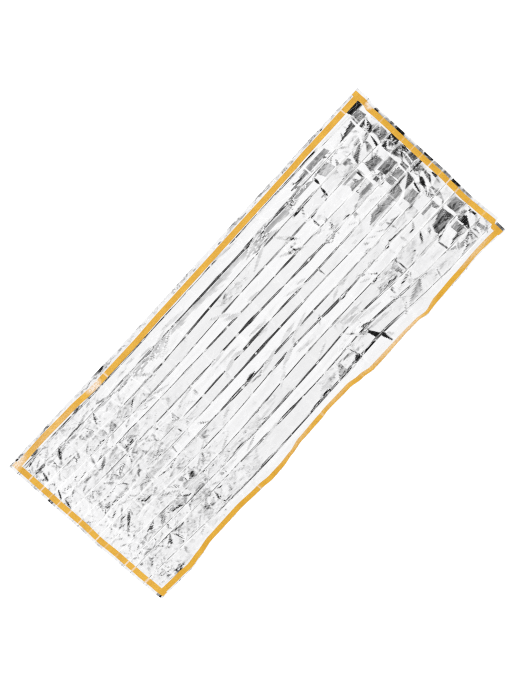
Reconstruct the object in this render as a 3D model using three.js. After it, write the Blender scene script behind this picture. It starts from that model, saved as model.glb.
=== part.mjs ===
import * as THREE from 'three';

// A foil sleeping bag lying flat: two film panels, closed along both long sides and the foot,
// open at the head.
// Millimetres. X runs across from the straight left side, Y from the foot to the head, Z up from the floor.
const LAID_LENGTH = 2130;
const LAID_WIDTH = 854;
const FILM = 1; // thickness of a film panel
const TAPE = 1; // thickness of the edge tape
const CLEAR = 0.5; // straight up from layer to layer, which leaves over 0.3 square to the steepest
const TAPE_WIDTH = 25;
const FOOT_MARGIN = 11; // bare film outside the tape at the foot
const HEAD_MARGIN = 13; // and at the head
const CURL_SHARE = 0.6; // how much of its slant the curled right tape rises

// The bag was folded up for its pouch, and lies in the cells that those folds left.
const FLANK_SHARE = 0.35; // share of a crease's height that is left beyond its steep flanks
const FOLD_RISE = 2.4; // how far a cross fold lifts one panel and sinks the next
const UNEVEN = 1.3; // how far any point may be off
const UNEVEN_TURN = { column: 12.9, row: 78.2, both: 0.37 }; // radians that set how it varies

// Shares of the length, from the foot, where the places of the lengthwise creases are given.
const STATIONS = { foot: 0, low: 0.33, middle: 0.56, high: 0.8, head: 1 };

// Lengthwise creases from the left: their places across the bag at those stations, their height
// (ridge +, trough -) and the plan width of the steep flank on each side.
const CREASES = [
  { foot: 51, low: 55, middle: 54, high: 52, head: 65, rise: 5, flank: 3 },
  { foot: 101, low: 107, middle: 107, high: 108, head: 112, rise: -10, flank: 8 },
  { foot: 165, low: 180, middle: 165, high: 165, head: 168, rise: 7, flank: 8 },
  { foot: 211, low: 231, middle: 222, high: 221, head: 230, rise: -9, flank: 8 },
  { foot: 256, low: 272, middle: 278, high: 283, head: 287, rise: 7, flank: 6 },
  { foot: 314, low: 329, middle: 331, high: 341, head: 340, rise: -10, flank: 8 },
  { foot: 371, low: 394, middle: 388, high: 389, head: 387, rise: 8, flank: 8 },
  { foot: 430, low: 440, middle: 437, high: 444, head: 438, rise: -8, flank: 7 },
  { foot: 472, low: 489, middle: 494, high: 494, head: 495, rise: 8, flank: 7 },
  { foot: 519, low: 544, middle: 531, high: 538, head: 542, rise: -10, flank: 8 },
  { foot: 577, low: 606, middle: 590, high: 594, head: 593, rise: 6, flank: 7 },
  { foot: 630, low: 655, middle: 655, high: 664, head: 661, rise: -8, flank: 8 },
  { foot: 667, low: 697, middle: 703, high: 722, head: 742, rise: 8, flank: 7 },
  { foot: 739, low: 772, middle: 769, high: 785, head: 800, rise: -9, flank: 9 },
];

// Cross folds, as shares of the length from the foot.
const FOLDS = [
  0.052, 0.114, 0.176, 0.236, 0.292, 0.355, 0.42, 0.487, 0.555, 0.623, 0.689, 0.751, 0.814, 0.885, 0.952,
];

// Dents that stand out, by the fold that they lie on (a half: midway to the next) and the panels
// that they cross.
const DENTS = [
  { fold: 1.5, from: 2, to: 2, rise: -5 },
  { fold: 1.5, from: 9, to: 9, rise: -6 },
  { fold: 7.5, from: 8, to: 8, rise: -4 },
  { fold: 10, from: 13, to: 13, rise: -5 },
  { fold: 10.5, from: 13, to: 14, rise: -9 },
  { fold: 13, from: 2, to: 3, rise: -6 },
  { fold: 14.5, from: 11, to: 12, rise: -7 },
  { fold: 15, from: 2, to: 2, rise: -6 },
  { fold: 15, from: 4, to: 4, rise: -6 },
  { fold: 15, from: 8, to: 8, rise: -5 },
  { fold: 15, from: 12, to: 12, rise: -7 },
];

// How high the trapped air holds the upper film.
const BELLY = [
  { along: 0, rise: 0 },
  { along: 0.017, rise: 0 },
  { along: 0.06, rise: 16 },
  { along: 0.13, rise: 22 },
  { along: 0.6, rise: 22 },
  { along: 0.72, rise: 33 },
  { along: 0.79, rise: 43 },
  { along: 0.83, rise: 45 },
  { along: 0.885, rise: 41 },
  { along: 0.952, rise: 31 },
  { along: 0.982, rise: 23 },
  { along: 1, rise: 16 },
];
const LEFT_RISE = 110; // width over which the upper film climbs from the left seam
const RIGHT_FALL = 220; // and comes down to the right seam
const LOW_AIR = 22; // air above this height, near the head, thins out more gently
const HIGH_FALL = 560; // over this width

// How much of each crease is left: the foot seam holds it down and the head hem flattens it.
const PLEAT = [
  { along: 0, share: 0.2 },
  { along: 0.02, share: 0.3 },
  { along: 0.067, share: 0.8 },
  { along: 0.3, share: 1 },
  { along: 0.933, share: 1 },
  { along: 0.98, share: 0.6 },
  { along: 1, share: 0.5 },
];

// The left edge: how far in from the outer box it lies, and how much bare film there is outside the tape.
const LEFT_EDGE = [
  { along: 0, inset: 1, bare: 14 },
  { along: 0.08, inset: 0, bare: 12 },
  { along: 0.16, inset: 0, bare: 15 },
  { along: 0.26, inset: 3, bare: 20 },
  { along: 0.4, inset: 4, bare: 20 },
  { along: 0.7, inset: 2, bare: 18 },
  { along: 0.84, inset: 1, bare: 13 },
  { along: 1, inset: 3, bare: 12 },
];

// The right edge: where the tape ends, how much of its width shows from above, and the bare film outside it.
const RIGHT_EDGE = [
  { along: 0, tapeEnd: 830, shows: 23, bare: 9 },
  { along: 0.09, tapeEnd: 839, shows: 21, bare: 5 },
  { along: 0.16, tapeEnd: 825, shows: 21, bare: 2 },
  { along: 0.24, tapeEnd: 825, shows: 22, bare: 2 },
  { along: 0.33, tapeEnd: 838, shows: 20, bare: 2 },
  { along: 0.39, tapeEnd: 828, shows: 13, bare: 2 },
  { along: 0.42, tapeEnd: 821, shows: 16, bare: 2 },
  { along: 0.5, tapeEnd: 817, shows: 17, bare: 2 },
  { along: 0.56, tapeEnd: 821, shows: 20, bare: 2 },
  { along: 0.62, tapeEnd: 842, shows: 17, bare: 2 },
  { along: 0.68, tapeEnd: 839, shows: 14, bare: 2 },
  { along: 0.744, tapeEnd: 838, shows: 10, bare: 3 },
  { along: 0.77, tapeEnd: 847, shows: 12, bare: 3 },
  { along: 0.8, tapeEnd: 845, shows: 21, bare: 3 },
  { along: 0.86, tapeEnd: 842, shows: 20, bare: 5 },
  { along: 0.93, tapeEnd: 835, shows: 16, bare: 6 },
  { along: 1, tapeEnd: 846, shows: 24, bare: 8 },
];

// The two ends: how far in from the outer box they lie.
const FOOT_EDGE = [
  { across: 0, inset: 0 },
  { across: 250, inset: 2 },
  { across: 400, inset: 6 },
  { across: 480, inset: 4 },
  { across: 590, inset: 9 },
  { across: 700, inset: 12 },
  { across: 854, inset: 19 },
];
const HEAD_EDGE = [
  { across: 0, inset: 0 },
  { across: 66, inset: 0 },
  { across: 98, inset: 9 },
  { across: 150, inset: 10 },
  { across: 375, inset: 5 },
  { across: 500, inset: 6 },
  { across: 630, inset: 10 },
  { across: 700, inset: 7 },
  { across: 795, inset: 1 },
  { across: 803, inset: 18 },
  { across: 854, inset: 18 },
];
const EDGE_REACH = 0.2; // share of the length over which an end's slant dies out

const FOIL = { color: 0xd9dce2, metalness: 1, roughness: 0.16 };
const ORANGE = { color: 0xe8ac2d, metalness: 0, roughness: 0.5 };

const { mapLinear, smoothstep } = THREE.MathUtils;

// One column of a table at a place between two of its rows.
function read(table, key, column, place) {
  const after = table.findIndex((row) => row[key] >= place);
  if (after < 0) return table.at(-1)[column];
  if (after === 0) return table[0][column];
  const [low, high] = [table[after - 1], table[after]];
  return mapLinear(place, low[key], high[key], low[column], high[column]);
}

// A fixed unevenness from -1 to 1 for each crossing of a column and a row.
function uneven(column, row) {
  return Math.sin(column * UNEVEN_TURN.column + row * UNEVEN_TURN.row + column * row * UNEVEN_TURN.both);
}

// Rows along the length: the hem and tape lines at both ends, the cross folds, and one row midway
// between two folds.
const footLines = [0, FOOT_MARGIN, FOOT_MARGIN + TAPE_WIDTH];
const headLines = [LAID_LENGTH - HEAD_MARGIN - TAPE_WIDTH, LAID_LENGTH - HEAD_MARGIN, LAID_LENGTH];
const rows = [
  ...footLines.map((at) => ({ at, seam: true })),
  ...FOLDS.flatMap((share, n) => {
    const next = FOLDS[n + 1];
    const fold = { at: LAID_LENGTH * share, fold: n + 1, folded: true };
    return next ? [fold, { at: (LAID_LENGTH * (share + next)) / 2, fold: n + 1.5 }] : [fold];
  }),
  ...headLines.map((at) => ({ at })),
];

// Columns across the width: the edge and tape lines on both sides, and each crease with the feet
// of its flanks.
const SIDE_LINES = ['edge', 'tapeOuter', 'tapeInner'];
const columns = [
  ...SIDE_LINES.map((line) => ({ side: 'left', line })),
  ...CREASES.flatMap((crease, n) => [
    { crease, panel: n, offset: -crease.flank },
    { crease, offset: 0 },
    { crease, panel: n + 1, offset: crease.flank },
  ]),
  ...SIDE_LINES.map((line) => ({ side: 'right', line })).reverse(),
];

// The left seam lies flat on the floor.
function leftSeam(line, along) {
  const edge = read(LEFT_EDGE, 'along', 'inset', along);
  const tapeOuter = edge + read(LEFT_EDGE, 'along', 'bare', along);
  const x = { edge, tapeOuter, tapeInner: tapeOuter + TAPE_WIDTH }[line];
  return { x, lift: 0 };
}

// The right seam curls down to the floor, so less of its tape shows and the tape's inner side is raised.
function rightSeam(line, along) {
  const tapeOuter = read(RIGHT_EDGE, 'along', 'tapeEnd', along);
  const shows = read(RIGHT_EDGE, 'along', 'shows', along);
  const edge = tapeOuter + read(RIGHT_EDGE, 'along', 'bare', along);
  const x = { edge, tapeOuter, tapeInner: tapeOuter - shows }[line];
  return { x, lift: line === 'tapeInner' ? CURL_SHARE * Math.sqrt(TAPE_WIDTH ** 2 - shows ** 2) : 0 };
}

// Where a crease runs: a smooth curve through its places at the stations.
function creaseAt(crease, along) {
  const stations = Object.entries(STATIONS);
  return stations.reduce((sum, [name, at]) => {
    const others = stations.filter(([other]) => other !== name);
    return sum + others.reduce((part, [, other]) => (part * (along - other)) / (at - other), crease[name]);
  }, 0);
}

// The height of the trapped air under the upper film, between the two seams.
function airUnder(x, along) {
  const inner = rightSeam('tapeInner', along);
  const held = smoothstep(x - leftSeam('tapeInner', along).x, 0, LEFT_RISE);
  const belly = read(BELLY, 'along', 'rise', along);
  const low = Math.min(belly, LOW_AIR);
  const lowAir = inner.lift + (low - inner.lift) * smoothstep(inner.x - x, 0, RIGHT_FALL);
  const highAir = (belly - low) * smoothstep(inner.x - x, 0, HIGH_FALL);
  return held * (lowAir + highAir);
}

// The underside of the upper film where a column crosses a row.
function upper(c, r) {
  const column = columns[c];
  const row = rows[r];
  const along = row.at / LAID_LENGTH;
  const floor = FILM + CLEAR;
  let x;
  let z;
  if (column.side) {
    const seam = (column.side === 'left' ? leftSeam : rightSeam)(column.line, along);
    x = seam.x;
    z = floor + seam.lift;
  } else {
    x = creaseAt(column.crease, along) + column.offset;
    const rise = column.crease.rise * read(PLEAT, 'along', 'share', along);
    z = floor + airUnder(x, along) + rise * (column.offset ? FLANK_SHARE : 1);
    if (row.fold) z += UNEVEN * uneven(c, r);
    if (row.fold && column.offset) z += bend(column.panel, row);
  }
  const footPull = read(FOOT_EDGE, 'across', 'inset', x) * (1 - smoothstep(along, 0, EDGE_REACH));
  const headPull = read(HEAD_EDGE, 'across', 'inset', x) * smoothstep(along, 1 - EDGE_REACH, 1);
  const y = row.at + footPull - headPull;
  return new THREE.Vector3(x - LAID_WIDTH / 2, y - LAID_LENGTH / 2, Math.max(z, floor));
}

// Folded to and fro, neighbouring panels bend opposite ways at a cross fold; dents come on top of that.
function bend(panel, row) {
  const dents = DENTS.filter(({ fold, from, to }) => fold === row.fold && panel >= from && panel <= to);
  const folded = (panel + row.fold) % 2 ? FOLD_RISE : -FOLD_RISE;
  return dents.reduce((sum, { rise }) => sum + rise, row.folded ? folded : 0);
}

// The underside of the lower film: flat on the floor, but raised with the upper one along the seams.
function lower(c, r) {
  const point = upper(c, r);
  point.z = columns[c].side || rows[r].seam ? point.z - FILM - CLEAR : 0;
  return point;
}

// The underside of a tape, which lies on the upper film; its ends stop short of the tapes that cross it.
function tapeBed(ends) {
  return (c, r) => {
    const point = upper(c, r);
    point.z += FILM + CLEAR;
    if (ends && r === ends.foot) point.y += CLEAR;
    if (ends && r === ends.head) point.y -= CLEAR;
    return point;
  };
}

// A closed sheet over some of the columns and rows, from its underside up.
function sheet(name, acrossList, alongList, underside, thickness, finish) {
  const points = [0, thickness].flatMap((raise) => alongList.flatMap((r) => acrossList.flatMap((c) => {
    const { x, y, z } = underside(c, r);
    return [x, y, z + raise];
  })));
  const wide = acrossList.length;
  const layer = wide * alongList.length;
  const corner = (i, j) => j * wide + i;
  const faces = [];
  for (let j = 0; j < alongList.length - 1; j += 1) {
    for (let i = 0; i < wide - 1; i += 1) {
      const [a, b, c, d] = [corner(i, j), corner(i + 1, j), corner(i + 1, j + 1), corner(i, j + 1)];
      const even = (acrossList[i] + alongList[j]) % 2 === 0;
      const halves = even ? [[a, b, c], [a, c, d]] : [[a, b, d], [b, c, d]];
      for (const [p, q, s] of halves) faces.push(s, q, p, p + layer, q + layer, s + layer);
    }
  }
  const rim = [
    ...acrossList.map((_, i) => corner(i, 0)).slice(0, -1),
    ...alongList.map((_, j) => corner(wide - 1, j)).slice(0, -1),
    ...acrossList.map((_, i) => corner(i, alongList.length - 1)).slice(1).reverse(),
    ...alongList.map((_, j) => corner(0, j)).slice(1).reverse(),
  ];
  rim.forEach((p, n) => {
    const q = rim[(n + 1) % rim.length];
    faces.push(p, q, q + layer, p, q + layer, p + layer);
  });
  const geometry = new THREE.BufferGeometry();
  geometry.setAttribute('position', new THREE.Float32BufferAttribute(points, 3));
  geometry.setIndex(faces);
  geometry.computeVertexNormals();
  const mesh = new THREE.Mesh(geometry, new THREE.MeshStandardMaterial(finish));
  mesh.name = name;
  return mesh;
}

const span = (first, last) => Array.from({ length: last - first + 1 }, (_, n) => first + n);
const lastColumn = columns.length - 1;
const lastRow = rows.length - 1;
const OUTER = SIDE_LINES.indexOf('tapeOuter'); // counted in from an edge
const INNER = SIDE_LINES.indexOf('tapeInner');
const wholeWidth = span(0, lastColumn);
const wholeLength = span(0, lastRow);
const crossRun = span(OUTER, lastColumn - OUTER);
const longEnds = { foot: INNER, head: lastRow - INNER };
const longRun = span(longEnds.foot, longEnds.head);

const bag = new THREE.Group();
bag.name = 'sleeping_bag';
bag.add(
  sheet('back_film', wholeWidth, wholeLength, lower, FILM, FOIL),
  sheet('front_film', wholeWidth, wholeLength, upper, FILM, FOIL),
  sheet('tape_left', [OUTER, INNER], longRun, tapeBed(longEnds), TAPE, ORANGE),
  sheet('tape_right', [lastColumn - INNER, lastColumn - OUTER], longRun, tapeBed(longEnds), TAPE, ORANGE),
  sheet('tape_foot', crossRun, [OUTER, INNER], tapeBed(), TAPE, ORANGE),
  sheet('tape_head', crossRun, [lastRow - INNER, lastRow - OUTER], tapeBed(), TAPE, ORANGE),
);

export default bag;
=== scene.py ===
# %% [markdown]
# # A foil sleeping bag, laid flat
# The bag is two panels of metallised film, joined at the sides and the foot, with orange tape along
# the edges. It was folded small for its pouch, so it still lies in a lattice of packing creases.
# The film is a mirror: nearly all that is seen of it is how its folds tilt, so this lesson spends most
# of its steps on folds.

# %% Load the frame
import math

import bmesh
import bpy
import numpy as np
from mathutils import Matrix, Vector, bvhtree, geometry


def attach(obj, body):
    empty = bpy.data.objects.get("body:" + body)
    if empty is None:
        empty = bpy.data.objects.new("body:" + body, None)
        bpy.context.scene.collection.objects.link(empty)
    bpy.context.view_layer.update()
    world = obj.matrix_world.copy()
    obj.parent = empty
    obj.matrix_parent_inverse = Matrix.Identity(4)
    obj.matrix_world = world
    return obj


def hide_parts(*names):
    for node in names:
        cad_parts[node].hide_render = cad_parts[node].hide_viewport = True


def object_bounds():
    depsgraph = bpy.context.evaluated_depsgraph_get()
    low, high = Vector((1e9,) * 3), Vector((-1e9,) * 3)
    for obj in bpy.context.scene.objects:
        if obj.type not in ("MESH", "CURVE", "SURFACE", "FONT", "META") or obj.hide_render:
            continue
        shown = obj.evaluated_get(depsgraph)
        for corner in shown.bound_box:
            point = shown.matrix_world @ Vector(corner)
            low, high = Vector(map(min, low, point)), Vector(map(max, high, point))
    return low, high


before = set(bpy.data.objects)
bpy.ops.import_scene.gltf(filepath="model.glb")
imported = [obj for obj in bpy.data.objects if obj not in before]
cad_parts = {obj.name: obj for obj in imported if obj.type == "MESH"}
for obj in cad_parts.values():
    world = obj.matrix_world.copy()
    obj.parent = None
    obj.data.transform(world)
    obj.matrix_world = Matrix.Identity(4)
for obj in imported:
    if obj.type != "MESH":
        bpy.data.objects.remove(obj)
cad_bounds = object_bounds()
MM = 0.001
WIDTH = round((cad_bounds[1][0] - cad_bounds[0][0]) / MM)
LENGTH = round((cad_bounds[1][1] - cad_bounds[0][1]) / MM)
print("laid size in mm:", WIDTH, "by", LENGTH)

# %% [markdown]
# ## Tables
# Every measured size sits in a table with named columns. Between two rows a value is eased, so an edge
# or a swelling has no kinks.

# %% Reading a table


def table(columns, *rows):
    """Rows of numbers with named columns."""
    return np.array(list(rows), dtype=[(name, float) for name in columns.split()])


def read(rows, key, column, places):
    """A column of a table at any place, eased from one row to the next."""
    spots = np.interp(places, rows[key], np.arange(len(rows)))
    whole = np.floor(spots)
    part = spots - whole
    return np.interp(whole + part * part * (3 - 2 * part), np.arange(len(rows)), rows[column])


def ease(start, end, places):
    """0 before the start, 1 after the end and a soft rise between."""
    share = np.clip((places - start) / (end - start), 0, 1)
    return share * share * (3 - 2 * share)


# %% [markdown]
# ## Creases, folds and edges
# Fourteen creases run the length of the bag, and fifteen folds cross them. Each crease has its place in
# mm from the left at six stations from the foot to the head, the way it rises, and how far it breaks the
# tape at the head and at the foot. A second table has the width of the steep flank beside each crease.

# %% The measured lines
TAPE_WIDTH = 25
HEAD_MARGIN = 13
FOOT_MARGIN = 11
STATIONS = (0, 0.33, 0.56, 0.68, 0.8, 1)
STATION_NAMES = ("foot", "low", "middle", "upper", "high", "head")
CREASES = table(
    "foot low middle upper high head rise head_gap foot_gap",
    (51, 55, 54, 52, 52, 65, 5, 0, 0),
    (100, 108, 110, 112, 110, 113, -10, 0, 0.9),
    (165, 180, 165, 163, 165, 168, 7, 0.3, 0.9),
    (211, 231, 222, 222, 221, 230, -9, 0, 0.3),
    (256, 272, 278, 280, 283, 287, 7, 0.25, 0.6),
    (314, 329, 331, 337, 341, 340, -10, 0.35, 0.7),
    (371, 394, 388, 391, 389, 387, 8, 0.3, 0.7),
    (430, 440, 438, 438, 444, 438, -8, 1, 0.3),
    (472, 489, 494, 493, 494, 495, 8, 0.3, 1),
    (519, 544, 532, 541, 538, 542, -10, 1, 0.3),
    (577, 606, 590, 590, 594, 593, 6, 0.6, 0.2),
    (630, 654, 651, 644, 664, 661, -8, 0.2, 1),
    (667, 695, 702, 698, 722, 742, 8, 0.3, 0.9),
    (739, 772, 768, 762, 785, 800, -9, 0, 0.9),
)
FOLDS = 1 - np.array([
    0.948, 0.886, 0.824, 0.764, 0.708, 0.645, 0.58, 0.513, 0.445, 0.377, 0.311, 0.249, 0.186, 0.115, 0.048,
])
FLANKS = table(
    "head shoulder chest waist hip knee shin foot",
    (7, 8, 4, 5, 6, 6, 7, 8),
    (0, 5, 9, 10, 6, 7, 3, 8),
    (0, 5, 7, 4, 7, 7, 0, 0),
    (2, 3, 6, 6, 5, 6, 2, 0),
    (0, 2, 5, 4, 7, 3, 3, 0),
    (0, 4, 9, 8, 7, 6, 4, 0),
    (0, 4, 8, 7, 7, 4, 0, 0),
    (0, 3, 6, 8, 7, 4, 0, 0),
    (0, 4, 5, 6, 9, 6, 0, 0),
    (2, 4, 9, 9, 4, 3, 0, 0),
    (2, 4, 4, 5, 5, 4, 0, 1),
    (7, 5, 5, 6, 6, 5, 1, 1),
    (0, 6, 6, 4, 8, 7, 1, 3),
    (1, 2, 9, 11, 7, 6, 3, 2),
)
LEFT_EDGE = table(
    "along inset margin",
    (0, 1, 14), (0.08, 0, 12), (0.16, 1, 16), (0.23, 3, 24), (0.34, 4, 24), (0.42, 4, 20), (0.54, 3, 20),
    (0.7, 2, 19), (0.78, 2, 17), (0.84, 1, 15), (0.9, 2, 14), (1, 3, 12),
)
RIGHT_EDGE = table(
    "along outer shows bare",
    (0, 830, 23, 9), (0.06, 836, 23, 7), (0.09, 841, 22, 5), (0.12, 835, 22, 3), (0.16, 825, 21, 2),
    (0.24, 825, 22, 2), (0.296, 832, 21, 2), (0.33, 840, 21, 2), (0.36, 838, 19, 2), (0.39, 830, 15, 2),
    (0.42, 822, 18, 2), (0.48, 820, 20, 2), (0.5, 816, 18, 2), (0.56, 820, 20, 2), (0.59, 831, 20, 2),
    (0.62, 841, 18, 2), (0.64, 842, 19, 2), (0.68, 840, 16, 2), (0.71, 838, 14, 2), (0.744, 840, 13, 3),
    (0.77, 850, 14, 3), (0.8, 846, 22, 3), (0.86, 842, 22, 5), (0.93, 836, 20, 6), (0.96, 840, 23, 6),
    (1, 846, 24, 8),
)
FOOT_EDGE = table(
    "across inset",
    (0, 0), (250, 3), (400, 7), (480, 5), (590, 11), (700, 14), (790, 19), (WIDTH, 24),
)
HEAD_EDGE = table(
    "across inset",
    (0, 0), (66, 0), (98, 8), (140, 7), (250, 7), (375, 8), (500, 7), (570, 10), (630, 12), (700, 9),
    (795, 3), (803, 18), (WIDTH, 18),
)
print("creases:", len(CREASES), "folds:", len(FOLDS))

# %% [markdown]
# ## One grid for every layer
# The film is a grid whose columns follow the creases and edges and whose rows run straight across. The
# lower film and the tapes take their corners from the same grid, so the layers lie parallel and can't
# cut through each other. Rows are closest at the head and the foot, where the film is most crumpled, and
# where the two sharpest folds lie on the right.

# %% Grid lines
FOOT_ZONE = 640
FOLD_ZONE = (1250, 1470)
HEAD_ZONE = 1700
TAPE_STEPS = 6
MARGIN_STEPS = 3
ROW_ZONES = table(
    "start end steps",
    (0, FOOT_MARGIN, MARGIN_STEPS),
    (FOOT_MARGIN, FOOT_MARGIN + TAPE_WIDTH, TAPE_STEPS),
    (FOOT_MARGIN + TAPE_WIDTH, FOOT_ZONE, 170),
    (FOOT_ZONE, FOLD_ZONE[0], 74),
    (FOLD_ZONE[0], FOLD_ZONE[1], 56),
    (FOLD_ZONE[1], HEAD_ZONE, 29),
    (HEAD_ZONE, LENGTH - HEAD_MARGIN - TAPE_WIDTH, 124),
    (LENGTH - HEAD_MARGIN - TAPE_WIDTH, LENGTH - HEAD_MARGIN, TAPE_STEPS),
    (LENGTH - HEAD_MARGIN, LENGTH, MARGIN_STEPS),
)
row_runs = [np.linspace(zone["start"], zone["end"], int(zone["steps"]) + 1)[:-1] for zone in ROW_ZONES]
rows_at = np.concatenate(row_runs + [[LENGTH]])
along = rows_at / LENGTH


def smooth_line(values, places):
    """A soft curve through a crease's places at the stations."""
    slopes = np.gradient(values, STATIONS)
    before = np.clip(np.searchsorted(STATIONS, places) - 1, 0, len(STATIONS) - 2)
    gap = np.diff(STATIONS)[before]
    part = (places - np.array(STATIONS)[before]) / gap
    start = np.array(values)[before]
    end = np.array(values)[before + 1]
    bend_start = slopes[before] * gap - (end - start)
    bend_end = (end - start) - slopes[before + 1] * gap
    return start + (end - start) * part + part * (1 - part) * (bend_start * (1 - part) + bend_end * part)


def lines_at(places):
    """Where each line along the bag lies across it: edges, tape edges and creases."""
    left = read(LEFT_EDGE, "along", "inset", places)
    left_outer = left + read(LEFT_EDGE, "along", "margin", places)
    outer = read(RIGHT_EDGE, "along", "outer", places)
    inner = outer - read(RIGHT_EDGE, "along", "shows", places)
    edge = outer + read(RIGHT_EDGE, "along", "bare", places)
    creases = [smooth_line([crease[name] for name in STATION_NAMES], places) for crease in CREASES]
    return np.array([left, left_outer, left_outer + TAPE_WIDTH, *creases, inner, outer, edge])


FIRST_CREASE = 3
LEFT_INNER = 2
RIGHT_INNER = FIRST_CREASE + len(CREASES)
lines_x = lines_at(along)
PANEL_WIDE = 56
PANEL_STEPS = np.array([0, 2, 4.5, 7.5, 11, 16, 22, 28, 34, 40, 45, 48.5, 51.5, 54]) / PANEL_WIDE


def even(steps):
    """Even steps over a span, without its end."""
    return np.linspace(0, 1, steps + 1)[:-1]


MARGIN_COLUMNS = 4
BESIDE_COLUMNS = 2
LAST_COLUMNS = 8
BARE_COLUMNS = 2
left_spans = [even(MARGIN_COLUMNS), even(TAPE_STEPS), even(BESIDE_COLUMNS)]
right_spans = [even(LAST_COLUMNS), even(TAPE_STEPS), even(BARE_COLUMNS)]
spans = left_spans + [PANEL_STEPS] * (len(CREASES) - 1) + right_spans
column_line = np.concatenate([np.full(len(span), n) for n, span in enumerate(spans)] + [[len(spans) - 1]])
column_line = column_line.astype(int)
column_part = np.concatenate(spans + [[1.0]])


def across(values):
    """Values on the lines, carried straight across to every column of the grid."""
    start = values[column_line]
    end = values[column_line + 1]
    return start + (end - start) * column_part[:, None]


x = across(lines_x)
along_all = np.broadcast_to(along, x.shape)
row_y = np.broadcast_to(rows_at, x.shape)
END_SHARE = 0.2
foot_inset = read(FOOT_EDGE, "across", "inset", x) * (1 - ease(0, END_SHARE, along_all))
head_inset = read(HEAD_EDGE, "across", "inset", x) * ease(1 - END_SHARE, 1, along_all)
y = row_y + foot_inset - head_inset
print("grid:", x.shape[0], "by", x.shape[1], "triangles:", 2 * (x.shape[0] - 1) * (x.shape[1] - 1))

# %% [markdown]
# ## The broad shape
# Air between the films lifts the bag's middle, most of all near the head. The tapes hold the left side
# and the foot down, and the right side curls up where less of its tape shows from above. Then each
# crease gets a low rise and a steep flank, which is the dark line that is seen along it.

# %% Belly and creases
rng = np.random.default_rng(11)
BELLY = table(
    "along rise",
    (0, 0), (0.017, 0), (0.06, 16), (0.13, 22), (0.6, 22), (0.72, 33), (0.79, 43), (0.83, 45),
    (0.885, 41), (0.952, 31), (0.982, 23), (1, 16),
)
LOW_AIR = 22
RIGHT_FALL = 300
HIGH_FALL = 560
LEFT_RISE = 110
FREE_RIGHT = 60
FREE_FOOT = (36, 120)
FREE_HEAD = (LENGTH - 100, LENGTH - 20)
HEAD_HOLD = 0.5
CURL = 0.6
none = np.zeros_like(along)
shows = read(RIGHT_EDGE, "along", "shows", along)
CURL_STEPS = 430
CURL_SOFT = 31
steady = np.linspace(0, 1, CURL_STEPS)
curl = np.interp(steady, along, CURL * np.sqrt(TAPE_WIDTH**2 - shows**2))
soft = np.hanning(CURL_SOFT) / np.hanning(CURL_SOFT).sum()
curl = np.convolve(np.pad(curl, CURL_SOFT // 2, mode="edge"), soft, mode="valid")
right_lift = np.interp(along, steady, curl)
edge_lift = across(np.array([none] * RIGHT_INNER + [right_lift, none, none]))
belly = read(BELLY, "along", "rise", along_all)
from_left = x - lines_x[LEFT_INNER]
from_right = lines_x[RIGHT_INNER] - x
air = np.minimum(belly, LOW_AIR)
body = right_lift + (air - right_lift) * ease(0, RIGHT_FALL, from_right)
body = body + (belly - air) * ease(0, HIGH_FALL, from_right)
inside = ease(0, LEFT_RISE, from_left)
z = np.where(from_right > 0, inside * body, edge_lift)
free = inside * ease(0, FREE_RIGHT, from_right) * ease(*FREE_FOOT, row_y)
free = free * (1 - HEAD_HOLD * ease(*FREE_HEAD, row_y))

FLANK_SLOPE = 0.64
FLANK_SHARE = 1.2
GENTLE_SIDE = 2.6
LEAST_FLANK = 0.3
MOST_SLOPE = 0.6
RISE_SHARE = 0.22
UNEVEN = 0.4
UNEVEN_STEP = 40
UNEVEN_SPREAD = (0.25, 0.5, 0.25)
PLEAT = table(
    "along share",
    (0, 0.2), (0.02, 0.3), (0.067, 0.8), (0.3, 1), (0.933, 1), (0.98, 0.6), (1, 0.5),
)
pleat = read(PLEAT, "along", "share", along)
rises = [RISE_SHARE * crease["rise"] * pleat for crease in CREASES]
z += across(np.array([none] * FIRST_CREASE + rises + [none] * 3))
flank_names = FLANKS.dtype.names
flank_places = (np.arange(len(flank_names)) + 0.5) / len(flank_names)
uneven_at = np.arange(0, LENGTH + UNEVEN_STEP, UNEVEN_STEP)
flanks = []
for n, crease in enumerate(CREASES):
    line = FIRST_CREASE + n
    widths = [FLANKS[n][name] for name in reversed(flank_names)]
    wide = FLANK_SHARE * np.interp(along, flank_places, widths)
    uneven = np.convolve(rng.normal(0, 1, len(uneven_at)), UNEVEN_SPREAD, mode="same")
    wide = wide * (1 + UNEVEN * np.interp(rows_at, uneven_at, uneven))
    reach = np.maximum(wide, LEAST_FLANK)
    flanks.append((lines_x[line], reach))
    column = np.searchsorted(column_line, line)
    slope = np.clip(np.gradient(z, axis=0)[column] / np.gradient(x, axis=0)[column], 0, MOST_SLOPE)
    way = np.sign(crease["rise"])
    past = (x - lines_x[line]) * way + reach / 2
    fall = np.clip(1 - np.where(past > 0, past, -past / GENTLE_SIDE) / reach, 0, 1)
    z += way * (FLANK_SLOPE + slope) * reach * fall
print("belly and creases reach", round(float(z.max()), 1), "mm")

# %% [markdown]
# ## Dented cells
# Creases and folds cut the film into cells. Each cell is dented at a few chance points and lies as flat
# triangles between them. A second, finer scatter of points gives the small crinkle.

# %% Cells and crinkle
ABOVE_ALL = 99


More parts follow.
